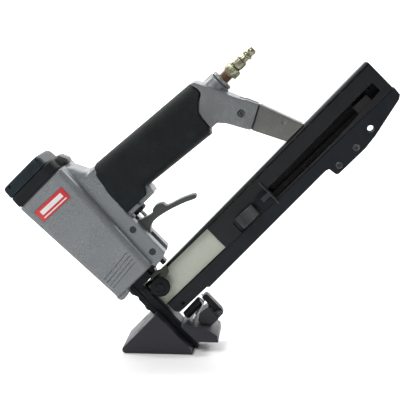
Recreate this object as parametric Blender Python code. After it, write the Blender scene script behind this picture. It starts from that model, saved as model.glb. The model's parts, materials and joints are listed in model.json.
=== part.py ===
"""Pneumatic flooring stapler, modelled as the separate pieces it is assembled from.

Everything is drawn in the tool's own frame, in millimetres: the origin is beside the staple
exit, +Z runs up the driver axis and +X runs back along the magazine. The empty "tool_frame"
leans that frame back by 45 degrees, so that the front shoe lies flat on world Z = 0, and
world X = Y = 0 is the middle of the shoe's base.
"""

import math

import bmesh
import bpy
from mathutils import Vector

# Driving dimensions, in millimetres unless the name says otherwise.
MM = 0.001
LEAN_DEG = -45.0
SHOE_CENTRE_TO_EXIT = 33.5
SHOE_BASE_ABOVE_ORIGIN = 2.6
GAP = 0.3

HOUSING_Z0, HOUSING_Z1 = 87.0, 205.0
HOUSING_FRONT_LOW, HOUSING_FRONT_HIGH = -12.2, -16.6
HOUSING_BACK_LOW, HOUSING_BACK_HIGH = 31.2, 36.9
HOUSING_HALF_LOW, HOUSING_HALF_HIGH = 26.5, 29.0
FRONT_CORNER, BACK_CORNER = 2.6, 7.0

BORE_X = 5.5
SLEEVE_R, SLEEVE_BORE_R = 16.5, 14.2
SLEEVE_Z0, SLEEVE_Z1 = 104.0, 200.0
STROKE = 75.0
PISTON_TOP, PISTON_HEIGHT = 198.0, 10.5
BLADE_X = 2.6
BLADE_HALF_THICK, BLADE_HALF_WIDE = 0.6, 3.1
BLADE_TIP_Z = 78.2

HANDLE_X0, HANDLE_X1 = 40.0, 163.0
HANDLE_Z0 = 166.5
HANDLE_SLOPE = -0.089
CORE_HALF_HIGH, CORE_HALF_WIDE = 16.6, 15.0
HANDLE_BORE_R = 11.0
GRIP_HALF_WIDE = 20.0
WEB_HALF, ROOT_HALF = 18.0, 14.5
TRIGGER_SLOT_HALF = 6.8

TRIGGER_PIN = (40.3, 121.4)
LEVER_PIN = (38.6, 95.1)
VALVE_X = 53.8
VALVE_R = 6.6
INLET_Z = 159.5
BOSS_X, BOSS_R = 187.2, 10.9
STRUT_SCREW = (181.6, 127.4)
CHEEK_HALF = 11.5

NOSE_HALF = 10.0
NOSE_FRONT, NOSE_SPLIT, NOSE_BACK = -4.5, 1.5, 8.9
SHOE_HALF, FOOT_HALF = 27.0, 24.0

MAG_X0, MAG_X1 = 9.5, 290.4
MAG_HALF, MAG_INNER = 7.5, 4.4
MAG_SEAM_Z = 50.2
STRIP_X0, STRIP_X1 = 3.7, 86.4
STRIP_Z0, STRIP_Z1 = 50.9, 76.2
SLOT_X0, SLOT_X1 = 106.0, 281.0
SLOT_Z0, SLOT_Z1 = 62.5, 66.3
FEED_X0, FEED_X1 = 86.8, 150.0

LATCH_PIVOT = (39.6, 12.0)


# ---------------------------------------------------------------- scene and materials

def clear_scene():
    for obj in list(bpy.data.objects):
        bpy.data.objects.remove(obj, do_unlink=True)


def make_material(name, color, roughness, metallic):
    mat = bpy.data.materials.new(name)
    mat.use_nodes = True
    shader = mat.node_tree.nodes["Principled BSDF"]
    shader.inputs["Base Color"].default_value = (*color, 1.0)
    shader.inputs["Roughness"].default_value = roughness
    shader.inputs["Metallic"].default_value = metallic
    mat.diffuse_color = (*color, 1.0)
    return mat


clear_scene()

CAST_ALLOY = make_material("cast_alloy", (0.36, 0.38, 0.39), 0.45, 0.8)
BRACKET_METAL = make_material("bracket_metal", (0.30, 0.29, 0.27), 0.5, 0.8)
BLACK_PLASTIC = make_material("black_plastic", (0.035, 0.038, 0.04), 0.5, 0.0)
BLACK_RUBBER = make_material("black_rubber", (0.03, 0.035, 0.035), 0.85, 0.0)
BLACK_STEEL = make_material("black_steel", (0.03, 0.032, 0.036), 0.45, 0.6)
GREY_STEEL = make_material("grey_steel", (0.20, 0.20, 0.22), 0.4, 0.8)
BRIGHT_STEEL = make_material("bright_steel", (0.62, 0.62, 0.63), 0.3, 1.0)
STAPLE_WIRE = make_material("staple_wire", (0.52, 0.53, 0.46), 0.5, 0.5)
BRASS = make_material("brass", (0.62, 0.50, 0.26), 0.35, 1.0)
SEAL_RUBBER = make_material("seal_rubber", (0.02, 0.02, 0.02), 0.8, 0.0)
BUMPER_PLASTIC = make_material("bumper_plastic", (0.55, 0.35, 0.10), 0.6, 0.0)
LABEL_RED = make_material("label_red", (0.55, 0.06, 0.05), 0.4, 0.0)

TOOL = bpy.data.objects.new("tool_frame", None)
bpy.context.scene.collection.objects.link(TOOL)
TOOL.location = (SHOE_CENTRE_TO_EXIT * MM, 0.0, -SHOE_BASE_ABOVE_ORIGIN * MM)
TOOL.rotation_euler = (0.0, math.radians(LEAN_DEG), 0.0)


# ---------------------------------------------------------------- mesh helpers

def add_piece(name, bm, material, pivot=(0.0, 0.0, 0.0), smooth=True):
    """Turn a bmesh drawn in tool millimetres into an object whose origin is at pivot."""
    bmesh.ops.recalc_face_normals(bm, faces=bm.faces)
    for vert in bm.verts:
        vert.co = (vert.co - Vector(pivot)) * MM
    mesh = bpy.data.meshes.new(name)
    bm.to_mesh(mesh)
    bm.free()
    if smooth:
        mesh.shade_smooth()
        mesh.set_sharp_from_angle(angle=math.radians(35.0))
    obj = bpy.data.objects.new(name, mesh)
    obj.data.materials.append(material)
    obj.parent = TOOL
    obj.location = Vector(pivot) * MM
    bpy.context.scene.collection.objects.link(obj)
    return obj


def loft(bm, rings, closed=False):
    """Skin a list of equal point rings; the ends are capped, or joined when closed."""
    loops = [[bm.verts.new(point) for point in ring] for ring in rings]
    count = len(rings[0])
    spans = list(zip(loops, loops[1:]))
    if closed:
        spans.append((loops[-1], loops[0]))
    for low, high in spans:
        for i in range(count):
            j = (i + 1) % count
            bm.faces.new((low[i], low[j], high[j], high[i]))
    if not closed:
        bm.faces.new(loops[0])
        bm.faces.new(loops[-1])


def prism(bm, outline, y0, y1):
    """Extrude an (x, z) outline from y0 to y1."""
    loft(bm, [[(x, y, z) for x, z in outline] for y in (y0, y1)])


def box(bm, x0, x1, y0, y1, z0, z1):
    prism(bm, [(x0, z0), (x1, z0), (x1, z1), (x0, z1)], y0, y1)


def turned(bm, profile, base, axis, segments, closed=False):
    """Turn a (radius, height) profile about an axis vector that starts at base."""
    up = Vector(axis).normalized()
    side = up.orthogonal().normalized()
    other = up.cross(side)
    rings = []
    for radius, height in profile:
        ring = []
        for i in range(segments):
            angle = 2.0 * math.pi * (i + 0.5) / segments
            spoke = side * math.cos(angle) + other * math.sin(angle)
            ring.append(Vector(base) + up * height + spoke * radius)
        rings.append(ring)
    loft(bm, rings, closed)


def rod(bm, start, end, radius, segments=16):
    length = (Vector(end) - Vector(start)).length
    turned(bm, [(radius, 0.0), (radius, length)], start, Vector(end) - Vector(start), segments)


def wire(bm, points, radius, segments=8):
    """Sweep a round wire along a path that bends in any direction."""
    path = [Vector(point) for point in points]
    rings = []
    side = (path[1] - path[0]).orthogonal().normalized()
    for i, point in enumerate(path):
        before = (point - path[max(i - 1, 0)]).normalized()
        after = (path[min(i + 1, len(path) - 1)] - point).normalized()
        tangent = (before + after).normalized()
        side = (side - tangent * side.dot(tangent)).normalized()
        other = tangent.cross(side)
        ring = []
        for k in range(segments):
            angle = 2.0 * math.pi * k / segments
            ring.append(point + (side * math.cos(angle) + other * math.sin(angle)) * radius)
        rings.append(ring)
    loft(bm, rings)


def rounded_rect(x0, x1, half, front, back, steps=4):
    """Outline in (x, y) of a rectangle with round corners, of one radius in front and one behind."""
    points = []
    corners = ((x1 - back, half - back, 0.0, back), (x0 + front, half - front, 90.0, front),
               (x0 + front, front - half, 180.0, front), (x1 - back, back - half, 270.0, back))
    for cx, cy, start, radius in corners:
        for k in range(steps + 1):
            angle = math.radians(start + 90.0 * k / steps)
            points.append((cx + radius * math.cos(angle), cy + radius * math.sin(angle)))
    return points


def arc(cx, cz, radius, start, end, steps):
    """Points of an (x, z) arc from start to end degrees."""
    points = []
    for k in range(steps + 1):
        angle = math.radians(start + (end - start) * k / steps)
        points.append((cx + radius * math.cos(angle), cz + radius * math.sin(angle)))
    return points


def oval_ring(x, zc, half_high, half_wide, power=2.6, count=24):
    """A superellipse standing across the handle at x."""
    ring = []
    for k in range(count):
        angle = 2.0 * math.pi * (k + 0.5) / count
        c, s = math.cos(angle), math.sin(angle)
        y = half_wide * math.copysign(abs(c) ** (2.0 / power), c)
        z = half_high * math.copysign(abs(s) ** (2.0 / power), s)
        ring.append((x, y, zc + z))
    return ring


def soften(obj, width, segments=1):
    mod = obj.modifiers.new("soft_edges", "BEVEL")
    mod.width = width * MM
    mod.segments = segments
    mod.limit_method = "ANGLE"
    mod.angle_limit = math.radians(40.0)
    return obj


def boolean(obj, operation, bm):
    """Combine an object with a hidden helper body drawn in tool millimetres."""
    helper = add_piece(f"{obj.name}_{operation.lower()}_{len(obj.modifiers)}", bm, obj.data.materials[0])
    helper.hide_render = True
    helper.display_type = "WIRE"
    mod = obj.modifiers.new(operation.lower(), "BOOLEAN")
    mod.operation = operation
    mod.solver = "EXACT"
    mod.object = helper


def cut(obj, draw, *args):
    bm = bmesh.new()
    draw(bm, *args)
    boolean(obj, "DIFFERENCE", bm)


def join(obj, draw, *args):
    bm = bmesh.new()
    draw(bm, *args)
    boolean(obj, "UNION", bm)


def piece(name, material, draw, *args, pivot=(0.0, 0.0, 0.0)):
    bm = bmesh.new()
    draw(bm, *args)
    return add_piece(name, bm, material, pivot)


def tube(name, material, base, axis, outer, inner, length, segments=24, pivot=(0.0, 0.0, 0.0)):
    profile = [(outer, 0.0), (outer, length), (inner, length), (inner, 0.0)]
    return piece(name, material, turned, profile, base, axis, segments, True, pivot=pivot)


# ---------------------------------------------------------------- housing and handle

def handle_z(x):
    return HANDLE_Z0 + HANDLE_SLOPE * (x - HANDLE_X0)


def housing_ring(z, inset=0.0):
    t = (z - HOUSING_Z0) / (HOUSING_Z1 - HOUSING_Z0)
    front = HOUSING_FRONT_LOW + (HOUSING_FRONT_HIGH - HOUSING_FRONT_LOW) * t + inset
    back = HOUSING_BACK_LOW + (HOUSING_BACK_HIGH - HOUSING_BACK_LOW) * t - inset
    half = HOUSING_HALF_LOW + (HOUSING_HALF_HIGH - HOUSING_HALF_LOW) * t - inset
    return [(x, y, z) for x, y in rounded_rect(front, back, half, FRONT_CORNER, BACK_CORNER)]


def handle_body(bm, x0, x1, half_high, half_wide, grow=0.0):
    rings = []
    for x in (x0, x1):
        rings.append(oval_ring(x, handle_z(x), half_high + grow, half_wide + grow))
    loft(bm, rings)


def neck_outline():
    saddle = [(38.0, 202.6), (40.4, 198.6), (42.4, 194.2), (44.6, 190.2), (47.4, 187.5), (50.8, 186.2)]
    return [(30.0, 203.0), *saddle, (54.3, 185.6), (51.6, 181.4), (48.3, 158.4), (46.9, 135.6),
            (46.6, 127.0), (46.2, 87.2), (44.0, 85.6), (36.3, 83.8), (30.0, 84.2)]


def front_lobe():
    return [(-9.0, 92.0), (-12.6, 90.0), (-13.2, 86.4), (-11.8, 83.6), (-8.5, 82.7), (-2.4, 83.7),
            (0.6, 86.8), (0.6, 92.0)]


def make_housing():
    bm = bmesh.new()
    rings = [housing_ring(HOUSING_Z0, 1.5), housing_ring(HOUSING_Z0 + 1.5), housing_ring(HOUSING_Z1)]
    loft(bm, [[(x, y, z) for x, y, z in ring] for ring in rings])
    housing = add_piece("housing_casting", bm, CAST_ALLOY)
    neck = bmesh.new()
    prism(neck, neck_outline(), -WEB_HALF, WEB_HALF)
    boolean(housing, "UNION", neck)
    join(housing, box, 40.0, 60.0, -ROOT_HALF, ROOT_HALF, 132.0, 180.0)
    join(housing, handle_body, HANDLE_X0, HANDLE_X1, CORE_HALF_HIGH, CORE_HALF_WIDE)
    valve_block = [(44.0, 150.0), (44.0, 131.0), (76.8, 131.2), (77.6, 137.0), (75.0, 147.0)]
    join(housing, prism, valve_block, -12.0, 12.0)
    for side in (-1.0, 1.0):
        join(housing, prism, front_lobe(), side * 18.5 - 6.0, side * 18.5 + 6.0)
    cut_housing(housing)
    return housing


def cut_housing(housing):
    bore_top = HOUSING_Z1 + 1.0
    bore_start = (BORE_X, 0.0, SLEEVE_Z0 - GAP)
    cut(housing, rod, bore_start, (BORE_X, 0.0, bore_top), SLEEVE_R + GAP, 32)
    cut(housing, rod, (BORE_X, 0.0, HOUSING_Z0 - 2.0), (BORE_X, 0.0, SLEEVE_Z0 + 1.0), 8.0, 20)
    cut(housing, box, 18.0, 31.0, -11.0, 11.0, 140.0, 196.0)
    cut(housing, rod, (27.0, 0.0, handle_z(27.0)), (170.0, 0.0, handle_z(170.0)), HANDLE_BORE_R, 20)
    cut(housing, rod, (VALVE_X, 0.0, 125.0), (VALVE_X, 0.0, 160.0), VALVE_R + GAP, 20)
    cut(housing, box, 32.6, 47.5, -TRIGGER_SLOT_HALF, TRIGGER_SLOT_HALF, 80.0, 127.6)
    for x, z in (TRIGGER_PIN, LEVER_PIN):
        cut(housing, rod, (x, -20.0, z), (x, 20.0, z), 3.2, 16)
    for x, y in cap_screw_places():
        cut(housing, rod, (x, y, HOUSING_Z1 - 10.0), (x, y, bore_top), 2.0, 10)
    for side in (-1.0, 1.0):
        for k in range(4):
            z = 96.3 + 3.7 * k
            y = side * (HOUSING_HALF_LOW + 0.25)
            cut(housing, rib_groove, z, y)
        cut(housing, label_recess, side)


def rib_groove(bm, z, y):
    """One shallow groove that climbs slightly from the front of the housing to its back."""
    outline = [(-8.3, z), (23.6, z + 3.2), (23.6, z + 4.2), (-8.3, z + 1.0)]
    prism(bm, outline, y - 0.5, y + 0.5)


def label_recess(bm, side):
    y = side * (HOUSING_HALF_HIGH + 0.5)
    prism(bm, [(-10.0, 181.4), (25.0, 180.0), (25.2, 193.7), (-9.8, 195.0)], y - 1.3, y + 1.3)


def cap_screw_places():
    return [(-7.5, -20.0), (28.0, -20.0), (28.0, 20.0), (-7.5, 20.0)]


def make_label():
    outline = [(-9.2, 182.2), (24.2, 180.9), (24.4, 192.9), (-9.0, 194.2)]
    inner = HOUSING_HALF_HIGH - 0.45
    piece("side_label", LABEL_RED, prism, outline, -inner - 0.6, -inner)


def make_grip():
    """The rubber sleeve over the handle, with its block over the trigger valve."""
    bm = bmesh.new()
    rings = []
    for x in (44.0, 58.0, 100.0, 155.0, 170.0):
        top = 186.6 - 0.083 * (x - 56.5)
        low = 139.2 - 0.098 * (x - 78.8)
        rings.append(oval_ring(x, (top + low) / 2.0, (top - low) / 2.0, GRIP_HALF_WIDE, 3.0))
    loft(bm, rings)
    grip = add_piece("grip_sleeve", bm, BLACK_RUBBER)
    block = [(45.6, 135.4), (71.0, 135.2), (75.2, 141.0), (78.0, 150.0), (56.0, 160.0), (45.6, 150.0)]
    join(grip, prism, block, -17.5, 17.5)
    front = [(30.0, 210.0), (62.0, 210.0), (57.0, 188.0), (52.0, 181.4), (48.7, 158.4), (47.3, 135.4),
             (46.9, 120.0), (30.0, 120.0)]
    cut(grip, prism, front, -30.0, 30.0)
    notch = [(149.5, 120.0), (149.6, 134.0), (153.5, 137.6), (154.2, 147.2), (155.8, 154.9),
             (161.9, 161.1), (168.4, 165.0), (169.4, 169.2), (166.8, 177.8), (166.0, 190.0),
             (180.0, 190.0), (180.0, 120.0)]
    cut(grip, prism, notch, -30.0, 30.0)
    cut(grip, handle_body, 30.0, 170.0, CORE_HALF_HIGH, CORE_HALF_WIDE, GAP)
    cut(grip, box, 40.0, 60.0 + GAP, -ROOT_HALF - GAP, ROOT_HALF + GAP, 120.0, 180.0 + GAP)
    under = [(43.0, 152.0), (43.0, 120.0), (77.2, 120.0), (78.0, 137.0), (75.3, 148.0)]
    cut(grip, prism, under, -12.0 - GAP, 12.0 + GAP)
    return grip


# ---------------------------------------------------------------- cylinder, piston and cap

def make_cylinder():
    up = (0.0, 0.0, 1.0)
    tube("cylinder_sleeve", BRIGHT_STEEL, (BORE_X, 0.0, SLEEVE_Z0), up, SLEEVE_R - 0.9, SLEEVE_BORE_R,
         SLEEVE_Z1 - SLEEVE_Z0, 32)
    for name, z in (("sleeve_seal_lower", 112.0), ("sleeve_seal_upper", 132.0)):
        tube(name, SEAL_RUBBER, (BORE_X, 0.0, z), up, SLEEVE_R, SLEEVE_R - 0.6, 2.0, 32)
    bumper_base = SLEEVE_Z0 + GAP
    bumper_height = PISTON_TOP - PISTON_HEIGHT - STROKE - GAP - bumper_base
    tube("piston_bumper", BUMPER_PLASTIC, (BORE_X, 0.0, bumper_base), up, SLEEVE_BORE_R - 0.5, 8.0,
         bumper_height, 24)


def make_driver():
    """Piston, its ring and the blade: one moving assembly on the driver axis."""
    pivot = (BORE_X, 0.0, PISTON_TOP)
    r = SLEEVE_BORE_R - 0.3
    groove = r - 1.6
    profile = [(r - 4.0, -PISTON_HEIGHT), (r - 0.8, -9.6), (r, -9.0), (r, -6.6), (groove, -6.6),
               (groove, -4.0), (r, -4.0), (r, -0.6), (r - 0.6, 0.0)]
    piston = piece("piston", CAST_ALLOY, turned, profile, pivot, (0.0, 0.0, 1.0), 24, pivot=pivot)
    cut(piston, box, BLADE_X - 1.1, BLADE_X + 1.1, -4.0, 4.0, PISTON_TOP - 12.0, PISTON_TOP - 7.0)
    tube("piston_ring", SEAL_RUBBER, (BORE_X, 0.0, PISTON_TOP - 6.4), (0.0, 0.0, 1.0), r,
         groove + GAP, 2.2, 24, pivot)
    piece("driver_blade", BRIGHT_STEEL, box, BLADE_X - BLADE_HALF_THICK, BLADE_X + BLADE_HALF_THICK,
          -BLADE_HALF_WIDE, BLADE_HALF_WIDE, BLADE_TIP_Z, PISTON_TOP - 7.4, pivot=pivot)


def cap_ring(z, front, back, half, corner):
    return [(x, y, z) for x, y in rounded_rect(front, back, half, FRONT_CORNER, corner, 5)]


def make_cap():
    gasket = bmesh.new()
    loft(gasket, [cap_ring(z, -15.6, 35.0, 27.6, 8.0) for z in (205.3, 206.2)])
    gasket = add_piece("cap_gasket", gasket, SEAL_RUBBER)
    cut(gasket, rod, (BORE_X, 0.0, 200.0), (BORE_X, 0.0, 210.0), SLEEVE_R + 0.5, 32)

    lower = bmesh.new()
    loft(lower, [cap_ring(206.5, -16.4, 34.4, 28.6, 9.0), cap_ring(216.9, -15.8, 33.4, 28.0, 9.0)])
    lower = add_piece("exhaust_cap", lower, BLACK_PLASTIC)
    lug = [(29.0, 215.6), (38.2, 214.9), (41.2, 208.0), (40.4, 204.8), (38.6, 203.8), (37.6, 204.6),
           (37.6, 206.8), (29.0, 206.8)]
    join(lower, prism, lug, -8.0, 8.0)
    cut(lower, rod, (BORE_X, 0.0, 204.0), (BORE_X, 0.0, 212.4), 12.0, 24)
    cut(lower, box, 12.0, 27.0, -5.0, 5.0, 208.5, 218.0)

    upper = bmesh.new()
    loft(upper, [cap_ring(217.2, -15.7, 28.2, 26.8, 6.0), cap_ring(218.0, -16.2, 28.8, 27.4, 6.0),
                 cap_ring(225.8, -15.8, 28.0, 26.4, 6.0), cap_ring(227.6, -15.0, 27.0, 25.4, 6.0),
                 cap_ring(228.3, -13.6, 25.4, 23.6, 6.0)])
    upper = add_piece("exhaust_deflector", upper, BLACK_PLASTIC)
    cut(upper, box, -12.0, 23.0, -17.0, 17.0, 216.0, 224.0)
    for x in (-10.2, 24.0):
        cut(upper, box, x, x + 2.0, -30.0, -23.0, 223.8, 230.0)
        cut(upper, box, x, x + 2.0, 23.0, 30.0, 223.8, 230.0)
    gap = 0.35
    for i, (x, y) in enumerate(cap_screw_places(), start=1):
        cut(lower, rod, (x, y, 204.0), (x, y, 218.0), 2.0 + gap, 10)
        cut(lower, rod, (x, y, 211.0), (x, y, 218.0), 3.6 + gap, 12)
        cut(gasket, rod, (x, y, 204.0), (x, y, 208.0), 2.0 + gap, 10)
        profile = [(1.65, -14.0), (1.65, 0.0), (3.5, 0.0), (3.5, 3.2)]
        piece(f"cap_screw_{i}", GREY_STEEL, turned, profile, (x, y, 211.2), (0.0, 0.0, 1.0), 10)


def make_head_valve():
    """Poppet that closes the top of the sleeve, with its spring above it."""
    pivot = (BORE_X, 0.0, 203.0)
    profile = [(15.6, -2.4), (15.6, 0.0), (10.4, 0.6), (10.4, 2.0), (6.0, 2.0), (6.0, 4.4), (2.0, 4.4),
               (2.0, 3.0)]
    piece("head_valve", BUMPER_PLASTIC, turned, profile, pivot, (0.0, 0.0, 1.0), 24, pivot=pivot)
    points = []
    turns, steps = 3, 10
    for k in range(turns * steps + 1):
        angle = 2.0 * math.pi * k / steps
        height = 206.3 + 5.2 * k / (turns * steps)
        points.append((BORE_X + 8.6 * math.cos(angle), 8.6 * math.sin(angle), height))
    piece("head_valve_spring", BRIGHT_STEEL, wire, points, 0.55, 5)


# ---------------------------------------------------------------- trigger and its valve

def make_trigger():
    x, z = TRIGGER_PIN
    pivot = (x, 0.0, z)
    outline = [(36.0, 125.0), (43.0, 125.4), (49.8, 122.0), (60.1, 119.3), (63.5, 121.6), (67.8, 122.2),
               (71.9, 120.6), (74.1, 118.8), (73.9, 116.4), (77.6, 113.8), (86.5, 111.2), (94.0, 108.2),
               (99.6, 105.0), (100.2, 102.6), (98.2, 101.4), (90.6, 104.8), (82.5, 107.8), (72.7, 110.8),
               (63.3, 112.8), (56.4, 113.2), (51.8, 112.0), (48.5, 109.6), (45.6, 106.8), (40.5, 109.5),
               (36.2, 116.0)]
    trigger = piece("trigger", BLACK_PLASTIC, prism, outline, -6.2, 6.2, pivot=pivot)
    soften(trigger, 0.8)
    cut(trigger, rod, (x, -8.0, z), (x, 8.0, z), 2.6, 16)


def headed_pin(bm, x, z):
    turned(bm, [(2.9, 0.0), (2.9, 0.9), (2.35, 1.2), (2.35, 34.2), (2.9, 34.5), (2.9, 35.4)],
           (x, -17.7, z), (0.0, 1.0, 0.0), 16)


def make_trigger_group():
    make_trigger()
    piece("trigger_pin", GREY_STEEL, headed_pin, *TRIGGER_PIN)
    piece("lever_pin", GREY_STEEL, headed_pin, *LEVER_PIN)
    body = [(VALVE_R - 0.8, -1.6), (VALVE_R, -0.8), (VALVE_R, 18.0), (2.2, 18.0), (2.2, -1.6)]
    piece("trigger_valve_body", BLACK_PLASTIC, turned, body, (VALVE_X, 0.0, 129.0), (0.0, 0.0, 1.0), 20,
          True)
    stem = [(1.3, 0.0), (1.8, 0.5), (1.8, 22.0), (1.3, 22.6)]
    tip = (VALVE_X, 0.0, 121.3)
    piece("valve_stem", BRIGHT_STEEL, turned, stem, tip, (0.0, 0.0, 1.0), 12, pivot=tip)


# ---------------------------------------------------------------- end cap, inlet and bracket

def make_end_cap():
    outline = [(167.5, 177.4), (171.4, 176.0), (174.6, 169.8), (183.0, 152.2), (191.5, 134.4),
               (193.4, 132.2), (198.0, 122.3), (176.9, 111.0), (173.0, 117.2), (166.6, 129.8),
               (161.4, 136.2), (154.2, 136.6), (154.9, 147.0), (156.5, 154.5), (162.5, 160.5),
               (169.0, 164.5), (170.1, 169.2)]
    end_cap = soften(piece("end_cap", CAST_ALLOY, prism, outline, -18.0, 18.0), 2.5, 2)
    join(end_cap, rod, (170.0, 0.0, INLET_Z), (BOSS_X, 0.0, INLET_Z), BOSS_R, 32)
    for side in (-1.0, 1.0):
        cut(end_cap, cheek_taper, side)
    cut(end_cap, handle_body, 140.0, HANDLE_X1 + 1.6, CORE_HALF_HIGH, CORE_HALF_WIDE, 0.5)
    cut(end_cap, rod, (160.0, 0.0, INLET_Z), (190.0, 0.0, INLET_Z), 6.4, 20)
    tongue = [(168.0, 138.0), (202.0, 138.0), (202.0, 106.0), (168.0, 106.0)]
    cut(end_cap, prism, tongue, -4.4, 4.4)
    x, z = STRUT_SCREW
    cut(end_cap, rod, (x, -20.0, z), (x, 20.0, z), 2.8, 12)
    cut(end_cap, rod, (x, -20.0, z), (x, -12.2, z), 3.8, 16)
    cut(end_cap, rod, (x, 12.2, z), (x, 20.0, z), 3.8, 16)
    gasket = bmesh.new()
    handle_body(gasket, HANDLE_X1 + GAP, HANDLE_X1 + 1.2, CORE_HALF_HIGH, CORE_HALF_WIDE, -0.5)
    gasket = add_piece("end_cap_gasket", gasket, SEAL_RUBBER)
    middle = handle_z(HANDLE_X1)
    cut(gasket, rod, (160.0, 0.0, middle), (170.0, 0.0, middle), HANDLE_BORE_R - 1.0, 20)


def cheek_taper(bm, side):
    """What is cut from one side of the end cap, so that it narrows towards the strut."""
    start, along, across = Vector((178.0, 0.0, 142.0)), Vector((0.4, 0.0, -0.92)), Vector((0.92, 0.0, 0.4))
    section = [(0.0, 18.1), (20.0, CHEEK_HALF), (44.0, CHEEK_HALF), (44.0, 24.0), (0.0, 24.0)]
    rings = []
    for reach in (-30.0, 30.0):
        rings.append([start + along * s + across * reach + Vector((0.0, side * y, 0.0)) for s, y in section])
    loft(bm, rings)


def make_inlet():
    along = (1.0, 0.0, 0.0)
    face = (BOSS_X, 0.0, INLET_Z)
    bushing = [(10.2, 0.3), (10.2, 2.8), (9.4, 3.4), (4.4, 3.4), (4.4, -8.0), (6.1, -8.0), (6.1, 0.3)]
    piece("inlet_bushing", GREY_STEEL, turned, bushing, face, along, 20, True)
    plug = [(4.1, -6.0), (4.1, 3.8), (5.7, 4.2), (5.7, 9.4), (7.9, 9.8), (7.9, 16.0), (6.0, 16.6),
            (6.0, 27.0), (5.4, 29.0), (3.7, 30.4), (3.7, 33.6), (4.6, 34.8), (4.6, 38.2), (3.8, 40.8),
            (2.4, 40.8), (2.4, -6.0)]
    piece("air_plug", BRASS, turned, plug, face, along, 18, True)


def magazine_top(x):
    return 77.2 + 0.0252 * (x - 37.0)


def make_bracket():
    outline = [(198.4, 121.5), (213.4, magazine_top(213.4) + GAP), (192.0, magazine_top(192.0) + GAP),
               (177.3, 110.2)]
    bracket = soften(piece("magazine_bracket", BRACKET_METAL, prism, outline, -9.0, 9.0), 1.0)
    tongue = [(178.2, 108.6), (199.4, 119.9), (190.0, 130.6), (185.0, 134.4), (176.6, 131.0), (176.2, 112.4)]
    join(bracket, prism, tongue, -4.0, 4.0)
    x, z = STRUT_SCREW
    cut(bracket, rod, (x, -6.0, z), (x, 6.0, z), 2.8, 12)
    screw = [(3.4, 0.0), (3.4, 1.4), (2.5, 1.6), (2.5, 26.2), (3.4, 26.4), (3.4, 27.8)]
    piece("bracket_screw", GREY_STEEL, turned, screw, (x, -13.9, z), (0.0, 1.0, 0.0), 16)


# ---------------------------------------------------------------- nose and shoes

def make_nose():
    plate = [(NOSE_FRONT, 8.3), (-0.5, 4.3), (NOSE_SPLIT, 4.3), (NOSE_SPLIT, 86.4), (-1.6, 86.4),
             (-3.2, 84.8), (-4.4, 77.0), (-3.0, 74.0), (NOSE_FRONT, 71.5)]
    plate = soften(piece("nose_plate", BLACK_STEEL, prism, plate, -NOSE_HALF, NOSE_HALF), 0.6)
    body = [(NOSE_SPLIT + GAP, 2.6), (5.2, 4.0), (8.6, 9.0), (NOSE_BACK, 28.0), (NOSE_BACK, 78.6),
            (24.0, 78.6), (26.0, 82.4), (29.6, 82.6), (29.6, 86.4), (NOSE_SPLIT + GAP, 86.4)]
    body = piece("nose_body", BLACK_STEEL, prism, body, -NOSE_HALF, NOSE_HALF)
    cut(body, box, NOSE_SPLIT, BLADE_X + BLADE_HALF_THICK + 0.35, -3.6, 3.6, -2.0, 90.0)
    cut(body, box, NOSE_SPLIT, 12.0, -3.7, 3.7, STRIP_Z0 - 0.7, STRIP_Z1 + 0.6)
    for side in (-1.0, 1.0):
        cut(body, box, 20.0, 34.0, side * 10.5 - 4.2, side * 10.5 + 4.2, 70.0, 86.1)
    for i, z in enumerate((79.8, 60.0), start=1):
        screw = [(2.8, 0.0), (3.2, 0.5), (3.2, 2.6)]
        piece(f"nose_screw_{i}", GREY_STEEL, turned, screw, (NOSE_FRONT - 2.9, 0.0, z), (1.0, 0.0, 0.0), 12)


def make_side_boss():
    centre = (19.0, -13.4, 67.0)
    disc = [(2.0, 0.0), (8.2, 0.0), (9.2, 0.9), (9.2, 2.6), (7.8, 5.5), (2.0, 5.5)]
    piece("pivot_boss", BLACK_PLASTIC, turned, disc, centre, (0.0, 1.0, 0.0), 24, True)
    screw = [(3.5, 0.0), (3.7, 0.4), (3.7, 1.6), (1.6, 1.8), (1.6, 6.6)]
    piece("boss_screw", GREY_STEEL, turned, screw, (19.0, -15.4, 67.0), (0.0, 1.0, 0.0), 12)


def make_shoes():
    base = SHOE_BASE_ABOVE_ORIGIN * math.sqrt(2.0)
    corner = arc(-41.4, 41.4 + base + 3.0 * math.sqrt(2.0), 3.0, 100.0, 225.0, 5)
    shoe = [(1.8, 53.2), *corner, (-0.6, base + 0.6), (1.8, 8.4)]
    shoe = piece("front_shoe", GREY_STEEL, prism, shoe, -SHOE_HALF, SHOE_HALF)
    cut(shoe, box, NOSE_FRONT - GAP, 12.0, -NOSE_HALF - GAP, NOSE_HALF + GAP, -8.0, 60.0)
    foot = [(9.2, 29.6), (13.6, 27.4), (24.6, 10.4), (27.0, 0.6), (23.2, -4.4), (9.2, 9.6)]
    foot = piece("rear_foot", GREY_STEEL, prism, foot, -FOOT_HALF, FOOT_HALF)
    for i, y in enumerate((-18.5, 18.5), start=1):
        cut(shoe, rod, (-20.0, y, 51.0), (-20.0, y, 56.0), 3.8, 16)
        screw = [(3.4, 0.0), (3.4, 1.4), (3.0, 1.8)]
        piece(f"shoe_screw_{i}", GREY_STEEL, turned, screw, (-20.0, y, 51.3), (0.0, 0.0, 1.0), 16)


# ---------------------------------------------------------------- magazine and feeder

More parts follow.
